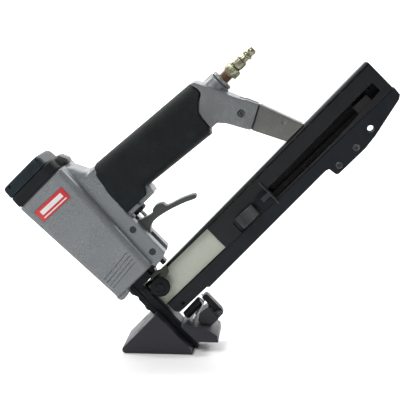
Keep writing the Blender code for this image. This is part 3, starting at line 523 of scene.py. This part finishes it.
def housing_holes(bm):
    for x, z in ((40.3, 121.4), (38.6, 95.1)):
        rod(bm, (x, -20.0, z), (x, -6.0, z), 3.2)
        rod(bm, (x, 20.0, z), (x, 6.0, z), 3.2)
    for x in (-7.5, 28.0):
        for y in (-20.0, 20.0):
            rod(bm, (x, y, 195.0), (x, y, 206.0), 2.0, 20)
    rod(bm, (5.5, 0.0, 84.0), (5.5, 0.0, 104.5), 8.0)
    box(bm, 32.6, 47.5, -6.8, 6.8, 80.0, 127.6)


def housing_grooves(bm):
    """Four shallow grooves low on each flank, and the pocket for the label."""
    for side in (-1.0, 1.0):
        for k in range(4):
            z = 96.3 + 3.7 * k
            y = side * 27.0
            prism(bm, [(-8.3, z), (23.6, z + 3.2), (23.6, z + 4.3), (-8.3, z + 1.1)], y - 1.4, y + 1.4)
        y = side * 29.5
        prism(bm, [(-10.0, 181.4), (25.0, 180.0), (25.2, 193.7), (-9.8, 195.0)], y - 1.3, y + 1.3)


def make_label():
    """A plain red badge with a white bar and a thin white underline, without lettering."""
    face = [(-9.2, 182.2), (24.2, 180.9), (24.4, 192.9), (-9.0, 194.2)]
    badge = rounded(drawn("label_face", prism, face, -29.05, -28.55), 0.15, 2)
    dress(badge, RED, "frame", ["side_label"])
    bm = bmesh.new()

    def at(u, v):
        x = face[0][0] + (face[1][0] - face[0][0]) * u
        low = face[0][1] + (face[1][1] - face[0][1]) * u
        return (x, low + 12.0 * v)
    bars = [((0.09, 0.14), (0.91, 0.23)), ((0.12, 0.40), (0.88, 0.76))]
    for (u0, v0), (u1, v1) in bars:
        prism(bm, [at(u0, v0), at(u1, v0), at(u1, v1), at(u0, v1)], -29.12, -29.0)
    dress(object_from("label_print", bm), WHITE, "frame")


# ---------------------------------------------------------------- grip, cap and deflector

def make_grip():
    bm = bmesh.new()
    rings = []
    for k in range(43):
        x = 44.0 + 3.0 * k
        top = 186.6 - 0.083 * (x - 56.5)
        low = 139.2 - 0.098 * (x - 78.8)
        rings.append(oval_ring(x, (top + low) / 2.0, (top - low) / 2.0, 20.0, 3.2))
    loft(bm, rings)
    grip = object_from("grip_rubber", bm)
    block = [(45.6, 135.4), (71.0, 135.2), (75.2, 141.0), (78.0, 150.0), (56.0, 160.0), (45.6, 150.0)]
    combine(grip, "UNION", rounded(drawn("valve_cover", prism, block, -17.6, 17.6), 1.6, 3))
    front = [(30.0, 210.0), (62.0, 210.0), (57.0, 188.0), (52.0, 181.4), (48.7, 158.4), (47.3, 135.4),
             (46.9, 120.0), (30.0, 120.0)]
    notch = [(149.5, 120.0), (149.6, 134.0), (153.5, 137.6), (154.2, 147.2), (155.8, 154.9),
             (161.9, 161.1), (168.4, 165.0), (169.4, 169.2), (166.8, 177.8), (166.0, 190.0),
             (180.0, 190.0), (180.0, 120.0)]
    under = [(43.0, 152.0), (43.0, 120.0), (77.2, 120.0), (78.0, 137.0), (75.3, 148.0)]
    combine(grip, "DIFFERENCE", drawn("front_cut", prism, front, -30.0, 30.0),
            drawn("rear_cut", prism, notch, -30.0, 30.0),
            drawn("core_cut", handle_body, 30.0, 170.0, 16.6, 15.0, 0.4),
            drawn("root_cut", box, 40.0, 60.3, -14.9, 14.9, 120.0, 180.4),
            drawn("under_cut", prism, under, -12.4, 12.4))
    cast(grip, 0.7, 2)
    dress(grip, GRIP_RUBBER, "frame", ["grip_sleeve"], 60.0)


def cap_ring(z, front, back, half, corner):
    return [(x, y, z) for x, y in rounded_rect(front, back, half, FRONT_CORNER, corner)]


def cap_holes(bm):
    rod(bm, (5.5, 0.0, 204.0), (5.5, 0.0, 212.4), 12.0, 40)
    box(bm, 18.5, 27.0, -5.0, 5.0, 208.5, 218.0)
    for x in (-7.5, 28.0):
        for y in (-20.0, 20.0):
            turned(bm, [(2.4, 204.0), (2.4, 211.0), (4.0, 211.0), (4.0, 218.0)], (x, y, 0.0),
                   (0.0, 0.0, 1.0), 24)


def make_cap():
    rings = [cap_ring(206.5, -15.9, 33.9, 28.1, 9.0), cap_ring(207.0, -16.4, 34.4, 28.6, 9.0),
             cap_ring(216.2, -15.9, 33.6, 28.1, 9.0), cap_ring(216.9, -15.2, 32.8, 27.4, 9.0)]
    lower = drawn("cap_band", loft, rings)
    lug = [(29.0, 215.6), (38.2, 214.9), (41.2, 208.0), (40.4, 204.8), (38.6, 203.8), (37.6, 204.6),
           (37.6, 206.8), (29.0, 206.8)]
    combine(lower, "UNION", rounded(drawn("lug", prism, lug, -8.0, 8.0), 0.4, 2))
    combine(lower, "DIFFERENCE", drawn("cap_holes", cap_holes))
    dress(lower, CAP_BLACK, "frame", ["exhaust_cap"])
    lower.data.materials.append(LUG_GREY)
    for face in lower.data.polygons:
        if (TOOL.inverted() @ face.center / MM).x > LUG_FRONT:
            face.material_index = 1
    rings = [cap_ring(217.2, -15.6, 28.0, 26.6, 6.0), cap_ring(217.9, -16.2, 28.8, 27.4, 6.0),
             cap_ring(224.0, -16.0, 28.4, 26.9, 6.0), cap_ring(226.0, -15.7, 27.9, 26.3, 6.0),
             cap_ring(227.3, -15.2, 27.2, 25.5, 6.0), cap_ring(228.1, -14.3, 26.3, 24.5, 6.0),
             cap_ring(228.3, -13.4, 25.4, 23.6, 6.0)]
    upper = drawn("cap_top", loft, rings)
    combine(upper, "UNION", drawn("ribs", deflector_ribs))
    combine(upper, "DIFFERENCE", drawn("slots", deflector_slots))
    dress(upper, CAP_PLASTIC, "frame", ["exhaust_deflector"], 30.0)


def deflector_ribs(bm):
    for side in (-1.0, 1.0):
        for k in range(13):
            x = -11.0 + 2.75 * k
            outline = [(x, 218.4), (x + 0.9, 218.4), (x + 0.9, 222.6), (x, 222.6)]
            y = side * 26.6
            prism(bm, outline, y - 1.0, y + 0.9)


def deflector_slots(bm):
    box(bm, -12.0, 23.0, -17.0, 17.0, 216.0, 224.0)
    for side in (-1.0, 1.0):
        y = side * 26.0
        for x in (-10.2, 24.0):
            box(bm, x, x + 1.8, y - 3.0, y + 3.0, 223.9, 227.4)


# ---------------------------------------------------------------- end casting, strut and air plug

def make_end_casting():
    outline = [(167.5, 177.4), (171.4, 176.0), (174.6, 169.8), (183.0, 152.2), (191.5, 134.4),
               (193.4, 132.2), (198.0, 122.3), (176.9, 111.0), (173.0, 117.2), (166.6, 129.8),
               (161.4, 136.2), (154.2, 136.6), (154.9, 147.0), (156.5, 154.5), (162.5, 160.5),
               (169.0, 164.5), (170.1, 169.2)]
    casting = drawn("end_casting", prism, outline, -18.0, 18.0)
    combine(casting, "DIFFERENCE", drawn("taper_near", cheek_taper, -1.0),
            drawn("taper_far", cheek_taper, 1.0))
    boss = [(11.6, 0.0), (10.9, 4.0), (10.9, 15.6), (10.3, 16.2)]
    combine(casting, "UNION", drawn("boss", turned, boss, (171.0, 0.0, INLET_Z), (1.0, 0.0, 0.0), 64))
    cast(casting, 0.6, 8)
    tongue = [(168.0, 138.0), (202.0, 138.0), (202.0, 106.0), (168.0, 106.0)]
    x, z = STRUT_SCREW
    counterbore = [(2.9, -2.0), (2.9, 28.0), (3.8, 28.0), (3.8, 36.0)]
    far_counterbore = [(3.8, 0.0), (3.8, 8.0)]
    combine(casting, "DIFFERENCE", drawn("core_room", handle_body, 140.0, 164.6, 16.6, 15.0, 0.5),
            drawn("tongue_room", prism, tongue, -4.4, 4.4),
            drawn("inlet_bore", rod, (160.0, 0.0, INLET_Z), (190.0, 0.0, INLET_Z), 6.4, 48),
            drawn("screw_bore", turned, counterbore, (x, 15.8, z), (0.0, -1.0, 0.0), 40),
            drawn("bore_room", turned, far_counterbore, (x, 12.2, z), (0.0, 1.0, 0.0), 40))
    dress(casting, CAST_BARE, "frame", ["end_cap"], 50.0)


def cheek_taper(bm, side):
    """What is cut from one side of the end casting, so that it narrows towards the strut."""
    start, along, across = Vector((178.0, 0.0, 142.0)), Vector((0.4, 0.0, -0.92)), Vector((0.92, 0.0, 0.4))
    section = [(0.0, 18.1), (20.0, 11.5), (44.0, 11.5), (44.0, 24.0), (0.0, 24.0)]
    rings = []
    for reach in (-30.0, 30.0):
        rings.append([start + along * s + across * reach + Vector((0.0, side * y, 0.0)) for s, y in section])
    loft(bm, rings)


def magazine_top(x):
    return 77.2 + 0.0252 * (x - 37.0)


def make_strut():
    outline = [(198.4, 121.5), (213.4, magazine_top(213.4) + 0.3), (192.0, magazine_top(192.0) + 0.3),
               (177.3, 110.2)]
    strut = rounded(drawn("strut", prism, outline, -9.0, 9.0), 1.1, 3)
    tongue = [(178.2, 108.6), (199.4, 119.9), (190.0, 130.6), (185.0, 134.4), (176.6, 131.0), (176.2, 112.4)]
    combine(strut, "UNION", drawn("tongue", prism, tongue, -4.0, 4.0))
    dimple = [(0.6, -0.4), (2.2, 0.0), (2.9, 0.9), (3.3, 3.0)]
    x, z = STRUT_SCREW
    combine(strut, "DIFFERENCE", drawn("hole", rod, (x, -6.0, z), (x, 6.0, z), 2.8),
            drawn("dimple", turned, dimple, (202.6, -8.4, 95.6), (0.0, -1.0, 0.0), 32))
    dress(strut, BRACKET, "frame", ["magazine_bracket"])


def socket_screw(name, node, head_r, head_h, shank, base, axis, socket_r, material):
    """A round head with a hexagonal socket, and its plain shank behind it."""
    shank_r, length = shank
    profile = [(head_r - 0.5, 0.0), (head_r, 0.5), (head_r, head_h), (shank_r, head_h + 0.1),
               (shank_r, head_h + length)]
    screw = drawn(name, turned, profile, base, axis, 40)
    depth = head_h * 0.6
    top = Vector(base) - Vector(axis) * 0.1
    combine(screw, "DIFFERENCE", drawn("socket", turned, [(socket_r, 0.0), (socket_r, depth)], top, axis, 6))
    dress(screw, material, "frame", [node], 30.0)


def make_plug():
    along = (1.0, 0.0, 0.0)
    face = (187.2, 0.0, INLET_Z)
    bushing = [(9.2, 0.3), (10.0, 0.9), (10.0, 2.6), (9.2, 3.3), (5.0, 3.3), (5.0, -8.0), (6.1, -8.0),
               (6.1, 0.3)]
    ring = drawn("inlet_ring", turned, bushing, face, along, 64, True)
    dress(ring, CAST_BARE, "frame", ["inlet_bushing"])
    collar = [(4.2, -6.0), (4.2, 3.6)]
    for k in range(5):
        collar += [(5.5, 4.1 + 1.0 * k), (4.9, 4.6 + 1.0 * k)]
    collar += [(5.4, 9.2), (5.4, 9.9), (2.4, 9.9), (2.4, -6.0)]
    dress(drawn("plug_thread", turned, collar, face, along, 48, True), COPPER, "frame", ["air_plug"])
    hexagon = [(6.8, 10.0), (7.9, 10.9), (7.9, 17.2), (6.6, 18.2), (2.4, 18.2), (2.4, 10.0)]
    octagon = [(5.0, 18.3), (5.9, 19.4), (5.9, 26.0), (4.9, 27.2), (2.4, 27.2), (2.4, 18.3)]
    for name, profile, sides in (("plug_hex", hexagon, 6), ("plug_barrel", octagon, 8)):
        body = drawn(name, turned, profile, face, along, sides, True)
        dress(rounded(body, 0.35, 3, 25.0), ZINC, "frame")
    nipple = [(4.2, 27.3), (3.8, 28.6), (3.7, 31.0), (4.7, 31.7), (5.0, 32.4), (5.0, 33.4), (4.5, 34.2),
              (3.8, 34.9), (3.7, 36.8), (4.1, 37.4), (4.1, 38.4), (3.6, 39.8), (3.2, 40.6), (2.4, 40.6),
              (2.4, 27.3)]
    dress(drawn("plug_nipple", turned, nipple, face, along, 56, True), ZINC, "frame")


# ---------------------------------------------------------------- trigger and side boss

def make_trigger():
    outline = smooth_path([(36.0, 124.4), (39.6, 126.0), (43.2, 125.2), (49.8, 122.0), (60.1, 119.3),
                           (63.5, 121.6), (67.8, 122.2), (71.9, 120.6), (74.1, 118.6), (74.3, 115.8),
                           (77.6, 113.8), (86.5, 111.2), (94.0, 108.2), (99.4, 105.4), (100.4, 103.2),
                           (98.4, 101.4), (90.6, 104.8), (82.5, 107.8), (72.7, 110.8), (63.3, 112.8),
                           (56.4, 113.2), (51.8, 112.0), (48.5, 109.4), (45.4, 107.0), (40.8, 109.5),
                           (36.6, 116.0)], 4)
    lever = rounded(drawn("trigger_lever", prism, outline, -6.2, 6.2), 0.9, 3, 50.0)
    combine(lever, "DIFFERENCE", drawn("pin_hole", rod, (40.3, -8.0, 121.4), (40.3, 8.0, 121.4), 2.6))
    dress(lever, TRIGGER_PLASTIC, "trigger", ["trigger"], 50.0)


def make_side_boss():
    centre = (19.0, -13.4, 67.0)
    disc = [(2.0, 0.5), (3.9, 0.5), (4.2, 0.0), (8.0, 0.0), (8.8, 0.3), (9.2, 1.0), (9.2, 2.6), (8.6, 4.0),
            (7.8, 5.5), (2.0, 5.5)]
    dress(drawn("boss_disc", turned, disc, centre, (0.0, 1.0, 0.0), 64, True), BLACK_OXIDE, "frame",
          ["pivot_boss"])
    socket_screw("boss_screw_head", "boss_screw", 3.3, 1.6, (1.6, 5.0), (19.0, -15.4, 67.0),
                 (0.0, 1.0, 0.0), 1.7, BLACK_OXIDE)
    x, z = STRUT_SCREW
    socket_screw("strut_screw", "bracket_screw", 3.3, 1.4, (2.5, 26.2), (x, -13.9, z),
                 (0.0, 1.0, 0.0), 1.8, DARK_STEEL)


# ---------------------------------------------------------------- shoes and magazine

def make_shoes():
    corner = arc(-41.4, 49.32, 3.0, 100.0, 225.0, 10)
    shoe = drawn("shoe_block", prism, [(1.8, 53.2), *corner, (-0.6, 4.28), (1.8, 8.4)], -27.0, 27.0)
    combine(shoe, "DIFFERENCE", drawn("nose_room", box, -4.8, 12.0, -10.3, 10.3, -8.0, 60.0))
    dress(rounded(shoe, 0.5, 3, 40.0), SHOE_PAINT, "frame", ["front_shoe"])
    foot = [(9.2, 29.6), (13.6, 27.4), (24.6, 10.4), (27.0, 0.6), (23.2, -4.4), (9.2, 9.6)]
    foot = drawn("foot_block", prism, foot, -24.0, 24.0)
    dress(rounded(foot, 0.6, 3), SHOE_PAINT, "frame", ["rear_foot"])


def make_cover():
    """The folded sheet-metal cover, with its round bends, long slot and row of lancings."""
    rings = []
    for x in (MAG_X0, 24.0, 37.0, 150.0, MAG_X1 - 2.0, MAG_X1):
        top = max(magazine_top(x), 76.9) if x < MAG_X1 - 1.0 else COVER_END_TOP
        rings.append(arch(x, top, MAG_HALF, 2.6, SEAM_Z + 0.3))
    cover = drawn("cover", loft, rings)
    lip = [(SLOT_X0, 40.0), (SLOT_X0, 62.5), (SLOT_X1, 66.9), (SLOT_X1, 56.3), (225.0, 52.7),
           (SLOT_X0, 50.6)]
    combine(cover, "DIFFERENCE", drawn("inside", box, 0.0, 300.0, -4.4, 4.4, 40.0, 76.4),
            drawn("window", box, 0.0, STRIP_X1, -12.0, -3.9, 40.0, 74.7),
            drawn("slot", prism, lip, -12.0, -3.9), drawn("lancings", lancings))
    dress(cover, MAG_PAINT, "frame", ["magazine_housing"], 30.0)
    # Painted shade: the faces inside the cover and the cut faces of the lancings take the near-black shade
    # material, standing in for the shadow inside the slot and in the lancing cuts.
    cover.data.materials.append(SLOT_SHADE_PAINT)
    for face in cover.data.polygons:
        place = TOOL.inverted() @ face.center / MM
        inside = abs(place.y) < 4.6 and place.z < 76.6
        lanced = -7.4 < place.y < -6.1 and 71.0 < place.z < 81.0 and face.area < 30.0 * MM * MM
        if inside or lanced:
            face.material_index = 1


def lancings(bm):
    for k in range(11):
        x = 87.6 + 18.7 * k
        z = magazine_top(x) - 4.0
        prism(bm, [(x, z), (x + 16.4, z + 0.4), (x + 16.4, z + 1.7), (x, z + 1.3)], -8.0, -6.2)


def make_staples():
    """Collated staples: each wire has a full middle and slightly smaller, softened sides."""
    bm = bmesh.new()
    outer, inner, crown = 3.35, 2.30, 1.1
    slices = ((0.02, 0.16, -0.12), (0.16, 1.08, 0.0), (1.08, 1.24, -0.12))
    count = int((STRIP_X1 - STRIP_X0) / STAPLE_PITCH)
    for k in range(count):
        x = STRIP_X0 + k * STAPLE_PITCH
        for start, end, grow in slices:
            side, top, under = outer + grow, STRIP_Z1 + grow, STRIP_Z1 - crown
            section = [(-side, STRIP_Z0), (-side, top), (side, top), (side, STRIP_Z0),
                       (inner, STRIP_Z0), (inner, under), (-inner, under), (-inner, STRIP_Z0)]
            loft(bm, [[(px, y, z) for y, z in section] for px in (x + start, x + end)])
    dress(object_from("staples", bm), STAPLE, "frame", ["staple_strip"])


def make_feeder_tab():
    outline = [(110.8, 52.2), (131.0, 52.6), (131.4, 64.0), (111.2, 64.2)]
    tab = rounded(drawn("thumb_tab", prism, outline, -13.4, -10.3), 1.1, 4)
    hollow = drawn("thumb_hollow", rod, (121.0, -36.4, 50.0), (121.0, -36.4, 67.0), 24.0, 96)
    combine(tab, "DIFFERENCE", hollow)
    dress(tab, DARK_STEEL, "feeder", ["feeder_thumb_tab"])
    run = smooth_path([(149.4, -7.9, 47.4), (149.4, -9.6, 47.6), (149.4, -10.4, 48.8), (149.4, -10.4, 59.0),
                       (149.4, -10.4, 70.2), (149.4, -9.6, 71.4), (149.4, -8.2, 71.6)], 6, False)
    dress(drawn("bridge_wire", wire, run, 0.8), DARK_STEEL, "feeder", ["feeder_bridge"], 60.0)
    plate = [(131.6, 52.0), (148.2, 51.6), (148.2, 65.0), (144.0, 66.4), (131.6, 63.6)]
    plate = rounded(drawn("feeder_plate", prism, plate, -8.6, -7.9), 0.3, 2)
    dress(plate, BLACK_OXIDE, "feeder")


def make_rivets():
    """Rail rivets with a dished eye at both ends."""
    rivet = [(1.2, 1.3), (1.5, 0.6), (1.9, 0.1), (2.5, 0.0), (3.0, 0.3), (3.1, 0.8), (1.8, 0.9), (1.8, 14.3),
             (3.1, 14.4), (3.0, 14.9), (2.5, 15.2), (1.9, 15.1), (1.5, 14.6), (1.2, 13.9)]
    for i, (x, z) in enumerate(((210.5, 34.0), (232.0, 35.0)), start=1):
        ring = drawn(f"rivet_{i}", turned, rivet, (x, -7.6, z), (0.0, 1.0, 0.0), 40)
        dress(ring, DARK_STEEL, "frame", [f"rail_rivet_{i}"])


def make_latch_wire():
    side = 9.4
    run = smooth_path([(36.4, -side, 33.4), (35.4, -side, 29.4), (33.0, -side, 27.4), (20.6, -side, 24.4),
                       (18.2, 1.6 - side, 23.8), (18.2, side - 1.6, 23.8), (20.6, side, 24.4),
                       (33.0, side, 27.4), (35.4, side, 29.4), (36.4, side, 33.4)], 5, False)
    dress(drawn("wire_bail", wire, run, 0.8), BRUSHED, "frame", ["latch_wire"], 60.0)


def dress_cad_nodes():
    """Give every carried-over CAD node its own look, and soften the edges of those in view."""
    slots = {row["node"]: row["material_slot"] for row in frame["record"]["subparts"]}
    for name, obj in NODES.items():
        obj.data.materials.clear()
        obj.data.materials.append(SLOT_LOOKS[slots[name]])
    # The magazine rail, seen only through the slot, takes the near-black painted shade material in place of
    # the shadow there.
    special = {"latch_block": LATCH_GREY, "rear_catch": CATCH_GREY, "magazine_rail": SLOT_SHADE_PAINT,
               "feeder_spring": BLACK_OXIDE, "feeder_shoe": LATCH_GREY, "safety_arm": ARM_GREEN,
               "latch_lever": BLACK_OXIDE, "latch_pin": DARK_STEEL, "trigger_pin": PIN_GREY,
               "lever_pin": PIN_GREY, "shoe_screw_1": SHOE_PAINT, "shoe_screw_2": SHOE_PAINT,
               "nose_screw_1": BLACK_OXIDE, "nose_screw_2": BLACK_OXIDE,
               "rail_plate_near": RAIL_PAINT, "rail_plate_far": RAIL_PAINT}
    for name, look in special.items():
        NODES[name].data.materials[0] = look
    softened = {"nose_plate": 0.5, "nose_body": 0.4, "rail_plate_near": 0.35, "rail_plate_far": 0.35,
                "contact_strap": 0.25, "safety_arm": 0.35, "trigger_link": 0.4, "latch_block": 0.4,
                "rear_catch": 0.3, "feeder_shoe": 0.25}
    for name, width in softened.items():
        fine_edges(name, width)


dress_cad_nodes()
make_housing()
make_label()
make_grip()
make_cap()
make_end_casting()
make_strut()
make_plug()
make_trigger()
make_side_boss()
make_shoes()
make_cover()
make_staples()
make_feeder_tab()
make_latch_wire()
make_rivets()


# ---------------------------------------------------------------- floor, light and camera

def make_stage():
    """A white paper sweep: flat under the tool, then curving up behind it."""
    profile = [(-4.0, 0.0), (1.6, 0.0)]
    profile += [(y, z) for y, z in arc(1.6, 1.0, 1.0, -90.0, 0.0, 16)][1:]
    profile.append((2.6, 6.0))
    bm = bmesh.new()
    edges = [[bm.verts.new((x, y, z - FLOOR_GAP)) for y, z in profile] for x in (-5.0, 5.0)]
    for i in range(len(profile) - 1):
        bm.faces.new((edges[0][i], edges[1][i], edges[1][i + 1], edges[0][i + 1]))
    mesh = bpy.data.meshes.new("sweep")
    bm.to_mesh(mesh)
    bm.free()
    mesh.shade_smooth()
    sweep = bpy.data.objects.new("sweep", mesh)
    mat = bpy.data.materials.new("paper_white")
    mat.use_nodes = True
    shader = mat.node_tree.nodes["Principled BSDF"]
    shader.inputs["Base Color"].default_value = (0.94, 0.94, 0.94, 1.0)
    shader.inputs["Roughness"].default_value = 0.9
    mesh.materials.append(mat)
    bpy.context.scene.collection.objects.link(sweep)


def add_light(name, place, target, size, power):
    light = bpy.data.lights.new(name, "AREA")
    light.shape = "RECTANGLE"
    light.size, light.size_y = size
    light.energy = power
    obj = bpy.data.objects.new(name, light)
    obj.location = place
    aim = Vector(target) - Vector(place)
    obj.rotation_euler = aim.to_track_quat("-Z", "Y").to_euler()
    bpy.context.scene.collection.objects.link(obj)


def make_light():
    world = bpy.data.worlds.new("studio")
    world.use_nodes = True
    world.node_tree.nodes["Background"].inputs["Color"].default_value = (1.0, 1.0, 1.0, 1.0)
    world.node_tree.nodes["Background"].inputs["Strength"].default_value = 0.30
    bpy.context.scene.world = world
    middle = (0.03, 0.0, 0.13)
    add_light("key", (-0.7, -1.2, 1.5), middle, (1.0, 0.8), 24.0)
    add_light("rim", (-0.5, 0.8, 1.3), middle, (1.4, 0.5), 10.0)
    add_light("paper_left", (-1.6, 0.9, 1.9), (-0.2, 2.5, 0.4), (1.2, 1.2), 60.0)
    add_light("paper_right", (1.6, 0.9, 1.9), (0.2, 2.5, 0.4), (1.2, 1.2), 60.0)
    bpy.context.scene.view_settings.view_transform = "Standard"


def make_camera():
    data = bpy.data.cameras.new("camera")
    data.lens = 100.0
    data.sensor_width = 36.0
    camera = bpy.data.objects.new("camera", data)
    target = Vector((0.03471, 0.0, 0.13632))
    azimuth, elevation, distance = math.radians(4.5), math.radians(10.0), 1.0
    away = Vector((math.sin(azimuth) * math.cos(elevation), -math.cos(azimuth) * math.cos(elevation),
                   math.sin(elevation)))
    camera.location = target + away * distance
    camera.rotation_euler = (-away).to_track_quat("-Z", "Y").to_euler()
    bpy.context.scene.collection.objects.link(camera)
    bpy.context.scene.camera = camera


make_stage()
make_light()
make_camera()
